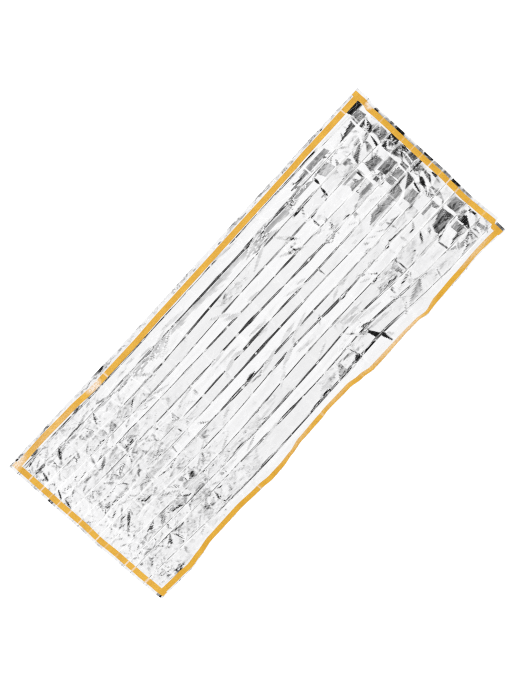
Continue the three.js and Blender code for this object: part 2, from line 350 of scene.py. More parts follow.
def terrain(points, heights, at_x, at_y, edges=()):
    """The height of a terrain of flat triangles over the points, at each place asked for."""
    flat_points = [Vector(point) for point in points]
    knots, _, faces, origin, *_ = geometry.delaunay_2d_cdt(flat_points, list(edges), [], 0, 1e-4)
    tops = [heights[source[0]] if source else 0.0 for source in origin]
    tree = bvhtree.BVHTree.FromPolygons([(k.x, k.y, top) for k, top in zip(knots, tops)], faces)
    down = Vector((0, 0, -1))
    starts = zip(at_x.ravel(), at_y.ravel())
    found = [tree.ray_cast(Vector((a, b, ABOVE_ALL)), down)[0] for a, b in starts]
    return np.array([hit.z if hit else 0.0 for hit in found]).reshape(at_x.shape)


DENTS = table(
    "along knot dent count small",
    (0, 0.7, 1.3, 9, 0.7), (0.15, 1, 1.4, 9, 0.65), (0.27, 0.8, 1.1, 7, 0.45), (0.36, 0.5, 0.7, 3, 0.25),
    (0.45, 0.5, 0.7, 3, 0.12), (0.74, 0.5, 0.6, 2, 0.12), (0.82, 1, 1.2, 3, 0.2), (0.88, 1.5, 2, 3, 0.2),
    (0.95, 1.5, 2, 4, 0.2), (1, 1, 1.5, 4, 0.2),
)
KNOT_STRAY = 2
DENT_PLACE = (0.1, 0.9)
first_row = (FOOT_MARGIN + TAPE_WIDTH) / LENGTH
last_row = 1 - (HEAD_MARGIN + TAPE_WIDTH) / LENGTH
cell_rows = np.concatenate([[first_row], FOLDS, [last_row]])
points = []
heights = []
edges = []
across_cells = len(CREASES) + 1
row_length = across_cells + 1
for j, place in enumerate(cell_rows):
    at = lines_at(np.array([place]))[LEFT_INNER:, 0]
    knot = float(read(DENTS, "along", "knot", place))
    for i in range(row_length):
        here = len(points)
        points.append((at[i], place * LENGTH + rng.normal(0, KNOT_STRAY)))
        heights.append(rng.normal(0, knot) * (0 < i < across_cells))
        if j:
            edges.append((here - row_length, here))
        if i:
            edges.append((here - 1, here))
for low_row, high_row in zip(cell_rows[:-1], cell_rows[1:]):
    count = int(round(float(read(DENTS, "along", "count", (low_row + high_row) / 2))))
    for i in range(across_cells):
        for _ in range(count):
            up, side = rng.uniform(*DENT_PLACE, 2)
            place = low_row + (high_row - low_row) * up
            at = lines_at(np.array([place]))[LEFT_INNER:, 0]
            points.append((at[i] + (at[i + 1] - at[i]) * side, place * LENGTH))
            heights.append(rng.normal(0, float(read(DENTS, "along", "dent", place))))
BORDER = 60
SEAM_SHARE = 0.1
for corner_x in (-BORDER, WIDTH + BORDER):
    for corner_y in (-BORDER, LENGTH + BORDER):
        points.append((corner_x, corner_y))
        heights.append(0)
z += terrain(points, heights, x, row_y, edges) * np.clip(free + SEAM_SHARE, 0, 1)

CRINKLE_X = 13
CRINKLE_Y = 18
CRINKLE_STRAY = 0.45
CRINKLE_SEAM_SHARE = 0.35
knots_x = np.arange(-BORDER, WIDTH + BORDER, CRINKLE_X)
knots_y = np.arange(-BORDER, LENGTH + BORDER, CRINKLE_Y)
knots_x, knots_y = np.meshgrid(knots_x, knots_y)
knots_x = knots_x + rng.uniform(-CRINKLE_STRAY, CRINKLE_STRAY, knots_x.shape) * CRINKLE_X
knots_y = knots_y + rng.uniform(-CRINKLE_STRAY, CRINKLE_STRAY, knots_y.shape) * CRINKLE_Y
knots = list(zip(knots_x.ravel(), knots_y.ravel()))
crinkle = terrain(knots, rng.uniform(-1, 1, knots_x.size), x, row_y)
z += crinkle * read(DENTS, "along", "small", along_all) * np.clip(free + CRINKLE_SEAM_SHARE, 0, 1)
print("cells:", across_cells * (len(cell_rows) - 1), "dents:", len(points))

# %% [markdown]
# ## Short folds
# The film also has short folds that keep to no lattice. The main ones are listed, each by its two
# ends in mm across and down from the head's left corner, its width and how steep it is, from 1, gentle,
# to 5, sharp. The many small ones between them fall by chance, in a number and size for each zone.

# %% Placing short folds
SEEN_SCALE_X = 0.991
SEEN_START_X = 6.6
SEEN_SCALE_Y = 1.0023
SEEN_START_Y = 18
SEEN_SKEW = 0.0177
TILTS = (0, 0.14, 0.182, 0.206, 0.236, 0.335)
seen_x = x / SEEN_SCALE_X - SEEN_START_X
seen_y = (LENGTH - y) * SEEN_SCALE_Y - SEEN_START_Y + SEEN_SKEW * seen_x
SHORT_FOLDS = table(
    "across down across_end down_end wide steep",
    # the foot, left
    (45, 1720, 43, 1785, 10, 5), (38, 1985, 36, 2022, 14, 5), (44, 2020, 58, 2062, 7, 5),
    (96, 1770, 96, 1880, 5, 5), (97, 1880, 95, 1918, 10, 5), (97, 1924, 136, 1954, 17, 5),
    (96, 1716, 146, 1746, 7, 4), (266, 1828, 290, 1872, 13, 4), (282, 1870, 286, 1914, 11, 4),
    (275, 1925, 268, 1960, 10, 4), (98, 2005, 97, 2072, 9, 5), (118, 2043, 160, 2057, 12, 5),
    (100, 2056, 114, 2040, 15, 4), (222, 1862, 252, 1873, 12, 4), (168, 1886, 188, 1899, 10, 4),
    (212, 2054, 248, 2076, 8, 5), (264, 2066, 304, 2079, 8, 5), (372, 1978, 410, 1996, 9, 3),
    # the foot, right
    (436, 1604, 470, 1611, 6, 4), (493, 1928, 525, 1967, 13, 5), (522, 1966, 551, 1998, 8, 5),
    (458, 1932, 474, 1954, 8, 4), (680, 1954, 698, 1936, 7, 4), (680, 1954, 676, 1996, 6, 4),
    (808, 1940, 805, 1990, 9, 5), (790, 1984, 776, 2012, 12, 4), (780, 2010, 758, 2042, 12, 3),
    (749, 1796, 738, 1838, 5, 4), (758, 1590, 760, 1636, 6, 4), (700, 1996, 698, 2028, 6, 4),
    # the middle, right
    (536, 384, 538, 406, 13, 5), (594, 412, 612, 417, 9, 4), (618, 412, 658, 412, 7, 4),
    (540, 650, 542, 690, 15, 5), (764, 716, 766, 790, 11, 5), (768, 838, 770, 882, 9, 5),
    (528, 800, 538, 812, 12, 5), (594, 520, 594, 545, 10, 5),
    (712, 540, 718, 450, 7, 5), (694, 680, 680, 722, 7, 5), (482, 1150, 486, 1200, 13, 5),
    (766, 990, 762, 1036, 13, 5), (764, 1050, 770, 1120, 9, 5), (480, 1430, 454, 1466, 6, 4),
    (600, 262, 627, 281, 11, 5), (482, 255, 486, 360, 6, 4),
    # the middle, left
    (116, 384, 152, 388, 12, 5), (168, 395, 210, 402, 11, 5), (120, 520, 136, 521, 7, 5),
    (236, 520, 278, 518, 7, 4), (262, 482, 282, 480, 9, 4), (298, 480, 307, 483, 12, 4),
    (240, 658, 266, 661, 9, 3), (383, 654, 420, 652, 8, 4), (104, 672, 112, 700, 13, 5),
    (165, 520, 165, 560, 12, 5), (47, 285, 45, 400, 9, 5), (45, 400, 47, 535, 6, 5),
    (162, 440, 165, 540, 8, 5), (387, 440, 388, 540, 6, 5), (221, 478, 222, 524, 7, 4),
    (101, 415, 102, 515, 6, 4), (338, 308, 338, 372, 5, 4),
)
CHANCE_FOLDS = table(
    "top low count long wide turn steepest",
    (20, 330, 40, 36, 9, 0.9, 3), (330, 560, 40, 40, 9, 0.6, 3), (560, 1400, 50, 110, 13, 0.06, 1),
    (1400, 1600, 40, 90, 9, 0.15, 1), (1600, 1960, 90, 60, 8, 0.35, 2), (1960, 2085, 110, 34, 7, 0.7, 3),
)
CHANCE_STEEP = (0.66, 0.26, 0.08)
CHANCE_TURN = 0.3
CHANCE_RUN = (0.4, 1.4)
CHANCE_WIDE = (0.6, 1.4)
CHANCE_LEFT = 55
CHANCE_RIGHT = 760
chance = []
for zone in CHANCE_FOLDS:
    for _ in range(int(zone["count"])):
        start_x = rng.uniform(CHANCE_LEFT, CHANCE_RIGHT)
        start_y = rng.uniform(zone["top"], zone["low"])
        turn = rng.choice((-1, 1)) * rng.normal(zone["turn"], CHANCE_TURN)
        run = zone["long"] * rng.uniform(*CHANCE_RUN)
        end_x = start_x + run * math.sin(turn)
        end_y = start_y + run * math.cos(turn)
        wide = zone["wide"] * rng.uniform(*CHANCE_WIDE)
        steep = min(rng.choice((1, 2, 3), p=CHANCE_STEEP), zone["steepest"])
        chance.append((start_x, start_y, end_x, end_y, wide, steep))
chance_folds = table("across down across_end down_end wide steep", *chance)


TAPER = 0.8


def beside(fold, at_x, at_y):
    """How far each point lies to one side of a fold, and how far beyond its edge."""
    run_x = fold["across_end"] - fold["across"]
    run_y = fold["down_end"] - fold["down"]
    part = ((at_x - fold["across"]) * run_x + (at_y - fold["down"]) * run_y) / (run_x**2 + run_y**2)
    part = np.clip(part, 0, 1)
    off_x = at_x - fold["across"] - part * run_x
    off_y = at_y - fold["down"] - part * run_y
    half = fold["wide"] / 2 * (1 - TAPER * (2 * part - 1) ** 2)
    return off_x - off_y, np.hypot(off_x, off_y) - half


STEP_REACH = 1.5
CHANCE_SLOPE = 0.08
PLACED_SLOPE = 0.15
for folds, slope in ((chance_folds, CHANCE_SLOPE), (SHORT_FOLDS, PLACED_SLOPE)):
    for fold in folds:
        side, beyond = beside(fold, seen_x, seen_y)
        half = fold["wide"] / 2
        fade = np.clip(1 - beyond / (STEP_REACH * fold["wide"]), 0, 1)
        z -= slope * np.clip(side, -half, half) * fade
print("short folds:", len(SHORT_FOLDS), "and", len(chance_folds), "by chance")

# %% [markdown]
# ## Flat faces
# Near the head the film stands in larger flat faces, each tilted its own way. A face lies between two
# slanting lines: its left and right side, and the top and low end of each, in the same mm and steepness
# as the short folds. The head side of a face is sunk and its foot side raised, and the film between two
# faces makes up the difference.

# %% Standing the faces
FACES = table(
    "left top low right top_right low_right steep",
    # the first five panels at the head
    (38, 20, 90, 62, 20, 86, 5), (62, 46, 96, 101, 42, 98, 3), (70, 103, 106, 101, 108, 215, 4),
    (110, 60, 100, 125, 78, 98, 5), (116, 55, 58, 148, 62, 93, 5), (148, 62, 93, 163, 78, 94, 5),
    (148, 94, 97, 164, 94, 138, 4), (178, 36, 80, 199, 36, 80, 3), (199, 36, 82, 217, 40, 90, 4),
    (180, 95, 100, 222, 102, 117, 5), (178, 122, 134, 208, 128, 157, 3), (164, 147, 165, 180, 176, 212, 4),
    (180, 176, 212, 205, 207, 220, 4), (166, 228, 262, 184, 224, 262, 3), (228, 28, 62, 274, 30, 56, 5),
    (242, 60, 66, 258, 60, 84, 4), (236, 64, 100, 262, 92, 100, 5), (232, 198, 200, 244, 140, 202, 3),
    (244, 140, 196, 284, 138, 198, 3), (236, 190, 202, 284, 196, 213, 4), (236, 240, 252, 266, 244, 250, 5),
    # the next four
    (298, 30, 62, 321, 36, 53, 5), (286, 36, 98, 298, 36, 74, 4), (318, 58, 72, 338, 82, 87, 5),
    (286, 76, 100, 318, 72, 88, 4), (290, 108, 184, 331, 106, 178, 3), (302, 205, 228, 322, 205, 225, 4),
    (342, 34, 54, 378, 34, 62, 4), (346, 60, 74, 380, 66, 82, 2), (344, 88, 106, 379, 88, 109, 4),
    (346, 116, 162, 379, 116, 160, 3), (348, 165, 196, 377, 165, 196, 3), (396, 34, 100, 405, 34, 82, 5),
    (405, 52, 94, 430, 50, 62, 3), (393, 107, 112, 432, 112, 170, 4), (382, 165, 168, 400, 170, 228, 4),
    (398, 186, 340, 428, 182, 385, 3), (446, 54, 66, 466, 54, 74, 4), (464, 52, 58, 483, 68, 79, 5),
    (439, 85, 92, 456, 82, 108, 5), (456, 82, 108, 489, 102, 112, 5),
    (439, 118, 128, 483, 134, 141, 5), (451, 143, 204, 485, 142, 200, 3), (464, 38, 44, 492, 36, 50, 5),
    # the last five
    (502, 115, 120, 522, 112, 130, 4), (522, 112, 130, 535, 104, 116, 4), (502, 84, 96, 522, 84, 92, 3),
    (540, 74, 112, 547, 80, 104, 4), (574, 92, 98, 588, 104, 120, 3), (500, 132, 198, 540, 128, 198, 0),
    (548, 125, 150, 581, 125, 143, 3),
    (548, 150, 200, 559, 146, 200, 3), (604, 50, 106, 655, 46, 101, 3), (596, 121, 134, 618, 120, 206, 4),
    (618, 120, 207, 657, 115, 219, 4), (656, 160, 219, 673, 206, 228, 5), (668, 66, 110, 685, 62, 98, 3),
    (686, 49, 59, 719, 45, 56, 5), (677, 112, 117, 690, 77, 117, 5), (690, 75, 117, 740, 109, 117, 5),
    (676, 120, 159, 715, 122, 159, 3), (683, 235, 242, 735, 229, 238, 4), (748, 66, 83, 800, 60, 79, 2),
    (780, 49, 54, 807, 72, 79, 4), (752, 114, 122, 799, 115, 121, 3), (752, 122, 160, 763, 122, 132, 3),
    (715, 160, 194, 728, 160, 196, 3),
    # further down
    (64, 262, 385, 88, 255, 505, 2), (224, 235, 332, 236, 235, 322, 3), (254, 280, 312, 276, 240, 322, 3),
    (302, 240, 300, 323, 240, 345, 2), (132, 265, 268, 156, 270, 288, 3), (112, 300, 365, 152, 290, 350, 1),
    (702, 711, 718, 760, 679, 706, 5), (762, 667, 690, 815, 667, 673, 5), (740, 807, 813, 771, 800, 852, 5),
    (626, 424, 452, 652, 434, 438, 3), (778, 655, 668, 806, 640, 668, 1), (556, 528, 534, 583, 500, 512, 3),
    (724, 885, 900, 764, 890, 936, 1), (718, 950, 990, 746, 945, 1032, 1),
    (604, 1275, 1346, 643, 1275, 1346, 1), (734, 1460, 1480, 766, 1405, 1496, 1),
    (590, 1600, 1700, 640, 1600, 1690, 1), (658, 1640, 1745, 690, 1636, 1720, 1),
    (436, 1625, 1830, 468, 1625, 1800, 1),
    # the bare film outside the tape
    (106, -6, 4, 127, -6, 4, 5), (195, -8, 3, 213, -8, 3, 4), (221, -9, 7, 273, -9, 7, 5),
    (340, -7, 5, 377, -7, 5, 3), (384, -7, 7, 435, -9, 5, 5), (440, -5, 5, 537, -5, 8, 3),
    (547, -2, 13, 593, -2, 13, 5), (606, 0, 15, 657, 0, 15, 3), (804, 14, 30, 850, 14, 30, 4),
    (205, 2106, 2125, 236, 2106, 2125, 4),
)


RELIEF = 0.5
MOST_RELIEF = 1.5
HEAD_FILM = 20
FOOT_FILM = 2090
points = []
heights = []
edges = []
for face in FACES:
    if face["top"] < HEAD_FILM or face["low"] > FOOT_FILM:
        continue
    tall = (face["low"] + face["low_right"] - face["top"] - face["top_right"]) / 2
    raised = min(RELIEF * TILTS[int(face["steep"])] * tall / 2, MOST_RELIEF)
    first = len(points)
    points += [(face["left"], face["top"]), (face["right"], face["top_right"])]
    points += [(face["right"], face["low_right"]), (face["left"], face["low"])]
    heights += [-raised, -raised, raised, raised]
    edges += [(first, first + 1), (first + 1, first + 2), (first + 2, first + 3), (first + 3, first)]
LEVEL_STEP = 40
LEVEL_CLEAR = 12
face_top = np.minimum(FACES["top"], FACES["top_right"]) - LEVEL_CLEAR
face_low = np.maximum(FACES["low"], FACES["low_right"]) + LEVEL_CLEAR
for level_x in np.arange(-BORDER, WIDTH + 2 * BORDER, LEVEL_STEP):
    beside_x = (level_x < FACES["left"] - LEVEL_CLEAR) | (level_x > FACES["right"] + LEVEL_CLEAR)
    for level_y in np.arange(-BORDER, LENGTH + 2 * BORDER, LEVEL_STEP):
        if np.all(beside_x | (level_y < face_top) | (level_y > face_low)):
            points.append((level_x, level_y))
            heights.append(0)
z += terrain(points, heights, seen_x, seen_y, edges) * np.clip(free + SEAM_SHARE, 0, 1)
FLOOR_GAP = 1.9
z = FLOOR_GAP + np.maximum(z, 0)
film = np.stack([x - WIDTH / 2, y - LENGTH / 2, z], axis=-1) * MM
print("flat faces:", len(FACES), "and the film reaches", round(float(z.max()), 1), "mm")

# %% [markdown]
# ## The tilt that a mirror shows
# A mirror doubles every tilt, so small errors show. The grid can't hold a face's tilt exactly, and heights
# that made it up in full would stand well over the real film, so each square of the grid also carries the
# rest of the tilt of its face or fold to the shading.

# %% Tilting the squares


def middles_of(values):
    """The mean of each square's four corners."""
    return (values[:-1, :-1] + values[1:, :-1] + values[:-1, 1:] + values[1:, 1:]) / 4


def changes(values, axis):
    """How much a value changes over each square of the grid, along an axis."""
    steps = np.diff(values, axis=axis)
    return (steps[:, :-1] + steps[:, 1:]) / 2 if axis == 0 else (steps[:-1] + steps[1:]) / 2


face_x = middles_of(seen_x)
face_y = middles_of(seen_y)
size = changes(x, 0) * changes(y, 1) - changes(x, 1) * changes(y, 0)
rise_x = (changes(z, 0) * changes(y, 1) - changes(z, 1) * changes(y, 0)) / size
rise_y = (changes(z, 1) * changes(x, 0) - changes(z, 0) * changes(x, 1)) / size
CELL_LEAN = table(
    "down lean varies",
    (0, -0.015, 0.02), (315, -0.015, 0.04), (735, 0.02, 0.06), (1300, 0.02, 0.06), (1640, 0.08, 0.06),
    (LENGTH, 0.08, 0.05),
)
PANEL_SHARE = 0.6
cell_rng = np.random.default_rng(23)
panel = np.clip(column_line[:-1] - LEFT_INNER, 0, across_cells - 1)
band = np.searchsorted(FOLDS * LENGTH, middles_of(row_y)[0])
cell_turn = (1 - PANEL_SHARE) * cell_rng.uniform(-1, 1, (across_cells, len(FOLDS) + 1))
cell_turn = cell_turn + PANEL_SHARE * cell_rng.uniform(-1, 1, (across_cells, 1))
lean = read(CELL_LEAN, "down", "lean", face_y)
lean = lean + read(CELL_LEAN, "down", "varies", face_y) * cell_turn[np.ix_(panel, band)]
lean_x = np.zeros_like(lean)
tilted = np.zeros_like(lean)
RIM_LEAN = -0.05


def tilt_to(tilt, cover, to_right=0):
    """Turn the covered squares to a tilt to the head and right, whatever the slope of the film there."""
    lean[:] = lean + (tilt + rise_y - lean) * cover
    lean_x[:] = lean_x + (to_right + rise_x - lean_x) * cover
    tilted[:] = tilted + (tilt - tilted) * cover


FLANK_TILT = 0.35
FLANK_COVER = 0.9
for crease_x, reach in flanks:
    inside_by = (reach[1:] + reach[:-1]) / 4 - np.abs(middles_of(x - crease_x))
    steep = np.clip(inside_by / changes(x, 0) + 0.5, 0, 1)
    tilt_to(0, FLANK_COVER * (steep > 0), to_right=FLANK_TILT * steep)
RIM_WIDE = 2.5
FOLD_EDGE = 4
FOLD_CORE = 0.7


def tilt_folds(folds, rim):
    """Give each fold its tilt, and as much of a pale edge along one side as rim says."""
    for fold in folds:
        side, beyond = beside(fold, face_x, face_y)
        tilt_to(RIM_LEAN, rim * np.clip(1 - np.abs(beyond - RIM_WIDE) / RIM_WIDE, 0, 1) * (side < 0))
        tilt_to(TILTS[int(fold["steep"])], np.clip(FOLD_CORE - beyond / FOLD_EDGE, 0, 1))


tilt_folds(chance_folds, rim=1)
EDGE_X = 4.5
EDGE_Y = 3
BEND_PLACE = (0.2, 0.8)
BEND_SLANT = 0.7
BEND_TILT = 0.07
for face in FACES:
    wide = face["right"] - face["left"]
    part = (face_x - face["left"]) / wide
    fall_top = (face["top_right"] - face["top"]) / wide
    fall_low = (face["low_right"] - face["low"]) / wide
    below = (face_y - face["top"] - fall_top * part * wide) / math.hypot(1, fall_top)
    above = (face["low"] + fall_low * part * wide - face_y) / math.hypot(1, fall_low)
    edge = np.minimum(np.minimum(below, above) / EDGE_Y, np.minimum(part, 1 - part) * wide / EDGE_X)
    bend = rng.uniform(*BEND_PLACE) + rng.uniform(-BEND_SLANT, BEND_SLANT) * (part - 0.5)
    bent = below / np.maximum(below + above, 1) > bend
    tilt = TILTS[int(face["steep"])] * np.where(bent, 1 + rng.uniform(-BEND_TILT, BEND_TILT), 1)
    tilt_to(tilt, np.clip(edge + 0.5, 0, 1))
tilt_folds(SHORT_FOLDS, rim=0.3)
print("tilted squares:", round(float((np.abs(lean) > -RIM_LEAN).mean()), 2))

# %% [markdown]
# ## Wear, painted sheen and crumple
# Where creases were pressed hard the metal skin is scuffed, and a sheen is painted along them: those lines
# are white and dull from any side, but for the steepest faces. Between the lines the film is finely
# crumpled, more so at the foot and in a few patches.

# %% Wear, painted sheen and crumple maps
# Scuffs along creases and folds, with a painted sheen: the film is made white and dull there.
WEAR_AND_SHEEN = table(
    "along much band",
    (0, 0.9, 2.5), (0.3, 0.5, 2.2), (0.5, 0.3, 2.2), (0.72, 0.4, 2.2), (0.85, 1, 3.2), (1, 1, 3.2),
)
LINE_WEAR_AND_SHEEN = (0.4, 1.1)
SPOT_WIDE = 8
SPOT_TALL = (4, 11)
SPOT_STRAY = 4
SPOT_WEAR_AND_SHEEN = (0.4, 1)
FOLD_STRAY = 6
FOLD_SLANT = 9
FOLD_WEAR_AND_SHEEN = 0.8
FOLD_LINE = 4
LEAST_WEAR_AND_SHEEN = 0.3
wear_and_sheen_much = read(WEAR_AND_SHEEN, "along", "much", along)
wear_and_sheen_band = read(WEAR_AND_SHEEN, "along", "band", along)
wear_and_sheen_places = np.concatenate([[0], FOLDS, [1]])
wear_and_sheen = np.zeros_like(x)
for n in range(len(CREASES)):
    here = np.interp(along, wear_and_sheen_places, rng.uniform(*LINE_WEAR_AND_SHEEN, len(wear_and_sheen_places))) * wear_and_sheen_much
    off_line = np.abs(x - lines_x[FIRST_CREASE + n])
    wear_and_sheen = np.maximum(wear_and_sheen, here * np.clip(2 - off_line / wear_and_sheen_band, 0, 1))
    for fold_y in FOLDS * LENGTH:
        off_fold = row_y - fold_y - rng.normal(0, SPOT_STRAY)
        spot = np.hypot(off_line / SPOT_WIDE, off_fold / rng.uniform(*SPOT_TALL))
        wear_and_sheen = np.maximum(wear_and_sheen, rng.uniform(*SPOT_WEAR_AND_SHEEN) * np.clip(2 - 2 * spot, 0, 1))
corner_panel = np.clip(column_line - LEFT_INNER, 0, across_cells - 1)
for fold_y in FOLDS * LENGTH:
    shift = cell_rng.normal(0, FOLD_STRAY, across_cells)[corner_panel]
    slant = cell_rng.normal(0, FOLD_SLANT, across_cells)[corner_panel] * (column_part - 0.5)
    much = cell_rng.uniform(0, FOLD_WEAR_AND_SHEEN, across_cells)[corner_panel]
    fold_gap = np.abs(row_y - fold_y - (shift + slant)[:, None])
    line = much[:, None] * np.clip(1.2 - fold_gap / FOLD_LINE, 0, 1)
    wear_and_sheen = np.maximum(wear_and_sheen, line * (LEAST_WEAR_AND_SHEEN + (1 - LEAST_WEAR_AND_SHEEN) * wear_and_sheen_much))
# The scuffs and their painted sheen are left off the steepest faces.
UNMARKED_TILT = (0.2, 0.3)
beside_corner = np.pad(tilted, 1, mode="edge")
wear_and_sheen = wear_and_sheen * (1 - ease(*UNMARKED_TILT, middles_of(beside_corner)))

CRUMPLE = table(
    "along much",
    (0, 0.43), (0.1, 0.39), (0.25, 0.33), (0.36, 0.2), (0.45, 0.13), (0.7, 0.13), (0.8, 0.2), (0.9, 0.22),
    (1, 0.2),
)
MARGIN_CRUMPLE = 0.9
PATCHES = table(
    "across down wide tall much",
    (124, 526, 25, 42, 0.9), (265, 505, 83, 63, 0.9), (249, 652, 50, 42, 0.9), (75, 631, 41, 357, 0.3),
    (182, 946, 33, 105, 0.6), (688, 757, 41, 126, 0.6), (746, 862, 41, 126, 0.5), (638, 505, 66, 63, 0.6),
    (638, 1619, 25, 84, 0.45), (680, 1661, 25, 63, 0.45), (788, 1998, 41, 84, 0.9), (539, 1998, 50, 63, 0.7),
)


def near(patch):
    """0 in the middle of a patch and 1 at its rim."""
    return np.hypot((seen_x - patch["across"]) / patch["wide"], (seen_y - patch["down"]) / patch["tall"])


crumple = read(CRUMPLE, "along", "much", along_all)
in_margin = np.minimum(x - lines_x[1], lines_x[RIGHT_INNER + 1] - x) < 0
crumple = np.maximum(crumple, MARGIN_CRUMPLE * in_margin)
for patch in PATCHES:
    crumple = np.maximum(crumple, patch["much"] * np.clip(2.2 - 2 * near(patch), 0, 1))
print("worn share of the film:", round(float((wear_and_sheen > 0.5).mean()), 3))

# %% [markdown]
# ## The two films
# Each film starts as a flat plane of squares, and every corner is then moved to its point of the grid.
# It could be cut flat and folded up by simulation, but folds that are given one by one land where the real
# ones are. The lower film lies flat on the ground inside its seams.

# %% Films
corners_of = {}


def sheet_mesh(name, places):
    """A plane of squares with each corner moved to its place."""
    wide, tall = places.shape[:2]
    bm = bmesh.new()
    bmesh.ops.create_grid(bm, x_segments=wide - 1, y_segments=tall - 1, size=0.5)
    mesh = bpy.data.meshes.new(name)
    bm.to_mesh(mesh)
    bm.free()
    flat = np.empty(3 * len(mesh.vertices))
    mesh.vertices.foreach_get("co", flat)
    flat = flat.reshape(-1, 3)
    column = np.rint((flat[:, 0] + 0.5) * (wide - 1)).astype(int)
    row = np.rint((flat[:, 1] + 0.5) * (tall - 1)).astype(int)
    mesh.vertices.foreach_set("co", places[column, row].ravel())
    mesh.polygons.foreach_set("use_smooth", [False] * len(mesh.polygons))
    mesh.update()
    piece = bpy.data.objects.new(name, mesh)
    corners_of[name] = (column, row)
    bpy.context.scene.collection.objects.link(piece)
    return piece


def carry(piece, name, values):
    """Keep a value for each corner with the mesh, for the materials to read."""
    layer = piece.data.attributes.new(name, "FLOAT", "POINT")
    layer.data.foreach_set("value", values[corners_of[piece.name]].ravel())


upper = sheet_mesh("upper_film", film)
carry(upper, "crumple", crumple)
# The scuffs with their painted sheen, for the material.
carry(upper, "wear_and_sheen", wear_and_sheen)
columns, rows = corners_of[upper.name]
corner = np.empty(len(upper.data.loops), int)
upper.data.loops.foreach_get("vertex_index", corner)
corner = corner.reshape(-1, 4)
leans = np.stack([lean_x, lean, np.zeros_like(lean)], axis=-1)
layer = upper.data.attributes.new("lean", "FLOAT_VECTOR", "FACE")
layer.data.foreach_set("vector", leans[columns[corner].min(axis=1), rows[corner].min(axis=1)].ravel())

LAYER_GAP = 0.8 * MM
GROUND_GAP = 0.5 * MM
SEAM_LEFT = MARGIN_COLUMNS + TAPE_STEPS + 1
SEAM_RIGHT = BARE_COLUMNS + TAPE_STEPS + 1
SEAM_FOOT = MARGIN_STEPS + TAPE_STEPS
in_seam = np.zeros(x.shape, bool)
in_seam[:SEAM_LEFT] = True
in_seam[-SEAM_RIGHT:] = True
in_seam[:, :SEAM_FOOT] = True
lower_places = film[::2, ::2].copy()
lower_places[..., 2] = np.where(in_seam[::2, ::2], lower_places[..., 2] - LAYER_GAP, GROUND_GAP)
lower = sheet_mesh("lower_film", lower_places)
print("film squares:", len(upper.data.polygons), "and", len(lower.data.polygons))

# %% [markdown]
# ## The tapes
# The tapes ride on the film's own corners, a little above it. Creases of the film under a tape show
# through as pale breaks, and here and there a glare is painted on the tape in pale patches.

# %% Tapes
TAPE_LIFT = 0.4 * MM
TAPE_THICK = 0.3 * MM
SIDE_GAPS = table(
    "across down much",
    (25, 97, 1), (25, 1567, 0.8), (804, 526, 0.7), (788, 862, 0.3), (771, 1094, 0.4), (788, 1493, 0.7),
)
# Where painted glare lies on the tapes, as pale patches.
GLARE = table(
    "across down wide tall much",
    (83, 0, 23, 29, 1), (25, 1636, 33, 46, 1), (0, 2082, 41, 63, 0.8), (25, 1893, 25, 168, 0.15),
    (804, 631, 50, 273, 0.55), (779, 1304, 50, 210, 0.4), (771, 988, 50, 168, 0.3), (817, 168, 25, 126, 0.3),
)
GAP_WIDE = 2.3
GAP_CORE = 1.6
SIDE_SHARE = 0.48
SIDE_REACH = 83
gaps = np.zeros_like(x)
for n, crease in enumerate(CREASES):
    much = np.where(along > 0.5, crease["head_gap"], crease["foot_gap"])
    off_line = np.abs(x - lines_x[FIRST_CREASE + n])
    gaps = np.maximum(gaps, much * np.clip(GAP_CORE - off_line / GAP_WIDE, 0, 1))
off_ends = np.abs(along_all - 0.5) < SIDE_SHARE
for gap in SIDE_GAPS:
    here = gap["much"] * off_ends * (np.abs(seen_x - gap["across"]) < SIDE_REACH)
    gaps = np.maximum(gaps, here * np.clip(GAP_CORE - np.abs(seen_y - gap["down"]) / GAP_WIDE, 0, 1))
glare = np.zeros_like(x)
for patch in GLARE:
    glare = np.maximum(glare, patch["much"] * np.clip(2 - 2 * near(patch), 0, 1))


def tape(name, columns, rows):
    """A strip of tape over some columns and rows of the film."""
    places = film[columns, rows].copy()
    places[..., 2] += TAPE_LIFT
    piece = sheet_mesh(name, places)
    carry(piece, "gaps", gaps[columns, rows])
    carry(piece, "glare", glare[columns, rows])
    thick = piece.modifiers.new("Thickness", "SOLIDIFY")
    thick.thickness = TAPE_THICK
    thick.offset = 1
    return piece


FOOT_START = 2
HEAD_START = 1
TAPE_END = 1
all_columns, all_rows = x.shape
side_rows = slice(SEAM_FOOT, all_rows - SEAM_FOOT)
foot_rows = slice(MARGIN_STEPS, SEAM_FOOT + 1)
head_rows = slice(all_rows - SEAM_FOOT - 1, all_rows - MARGIN_STEPS)
tape_left = tape("left_tape", slice(MARGIN_COLUMNS, SEAM_LEFT), side_rows)
tape_right = tape("right_tape", slice(all_columns - SEAM_RIGHT, all_columns - BARE_COLUMNS), side_rows)
tape_foot = tape("foot_tape", slice(FOOT_START, all_columns - TAPE_END), foot_rows)
tape_head = tape("head_tape", slice(HEAD_START, all_columns - TAPE_END), head_rows)
